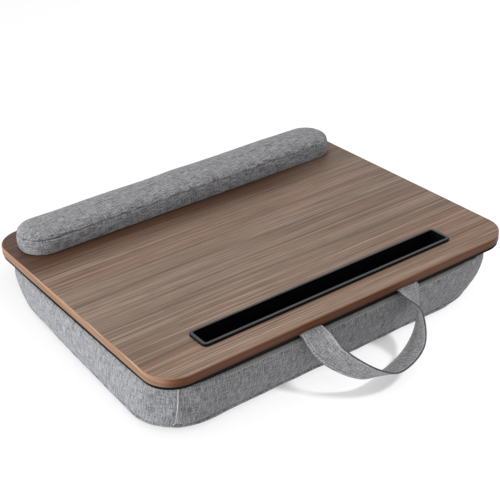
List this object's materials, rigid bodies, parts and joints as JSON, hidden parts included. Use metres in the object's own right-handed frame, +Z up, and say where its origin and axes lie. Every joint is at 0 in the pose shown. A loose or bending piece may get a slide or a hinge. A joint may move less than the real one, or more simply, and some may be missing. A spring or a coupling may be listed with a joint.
{
  "type": "lap tray with cushion",
  "caption": "A lap tray with a walnut top, a black device slot, a grey fabric wrist rest, a wedge cushion underneath and a fabric carrying loop",
  "frame": {"origin": "on the resting plane under the middle of the cushion's bottom, below the middle of the tray board", "axes": "+X along the board's long side, +Y from the slot and handle side towards the wrist rest, +Z up"},
  "size_m": [0.5473, 0.5122, 0.0897],
  "materials": {
    "walnut_laminate": "satin",
    "board_core": "matte",
    "backing_sheet": "matte",
    "edge_band": "satin",
    "slot_plastic": "gloss",
    "base_plastic": "matte",
    "screw_steel": "satin",
    "grey_fabric": "woven",
    "tape_fabric": "woven",
    "soft_fill": "matte",
    "lining_fabric": "matte",
    "tape_rubber": "matte"
  },
  "bodies": {
    "root": {"top_laminate": "walnut_laminate", "tray_core": "board_core", "backing_sheet": "backing_sheet", "edge_band": "edge_band", "slot_liner": "slot_plastic", "base_plate": "base_plastic", "plate_screws": "screw_steel", "strap_end_left": "grey_fabric", "strap_end_right": "grey_fabric", "strap_staples": "screw_steel", "cushion_front_panel": "grey_fabric", "cushion_side_panel": "grey_fabric", "front_tape": "tape_fabric", "cushion_bottom_panel": "grey_fabric", "cushion_fill": "soft_fill", "cushion_lining": "lining_fabric", "wrist_side_panel": "grey_fabric", "wrist_top_panel": "grey_fabric", "wrist_foam": "soft_fill", "wrist_base": "base_plastic", "wrist_tape_strips": "tape_rubber"},
    "handle": {"handle_strap": "grey_fabric"}
  },
  "joints": [
    {"name": "handle_swing", "type": "hinge", "parent": "root", "child": "handle", "pos_m": [0.0097, -0.21703, 0.07528], "axis": [-1, 0, 0], "range_deg": [-14, 85]}
  ]
}
